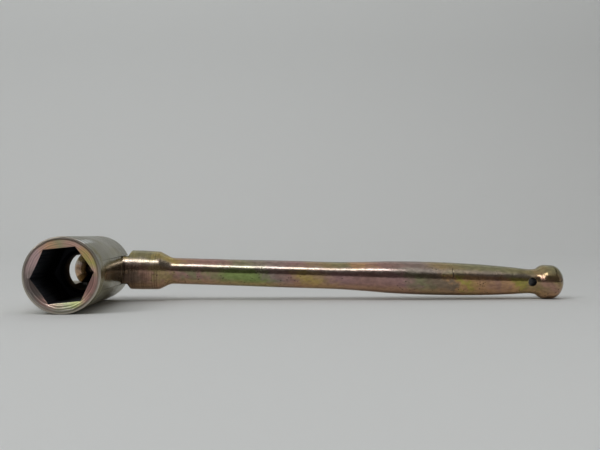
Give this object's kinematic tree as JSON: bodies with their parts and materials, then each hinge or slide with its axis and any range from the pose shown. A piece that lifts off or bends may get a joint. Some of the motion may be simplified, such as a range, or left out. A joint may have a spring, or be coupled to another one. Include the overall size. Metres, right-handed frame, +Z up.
{
  "type": "lug wrench",
  "caption": "Hinged hex socket wrench: a round barrel socket with a slot across its rear end, and a ball-ended handle whose flat tang swings in the slot on a cross pin.",
  "frame": {"origin": "centre of the footprint of the wrench as it lies on the ground, with the ground at z = 0", "axes": "+X along the handle from the socket towards the ball (the handle droops 1.9 degrees), -Y out of the socket's mouth, +Z up"},
  "size_m": [0.2355, 0.0684, 0.03],
  "materials": {
    "socket_steel": "steel, turned and polished, zinc plated and yellow passivated to an olive, gold and pink sheen",
    "handle_steel": "forged and polished steel, zinc plated and yellow passivated to a gold, pink and green sheen",
    "pin_steel": "steel rivet, headed and ground flush, zinc plated and yellow passivated"
  },
  "bodies": {
    "socket": {"socket": "socket_steel", "hinge_pin": "pin_steel"},
    "handle": {"handle": "handle_steel"}
  },
  "joints": [
    {"name": "handle_swing", "type": "hinge", "parent": "socket", "child": "handle", "pos_m": [-0.10274, 0.02525, 0.015], "axis": [0.0324, 0, 0.9995], "range_deg": [-3, 183]}
  ]
}
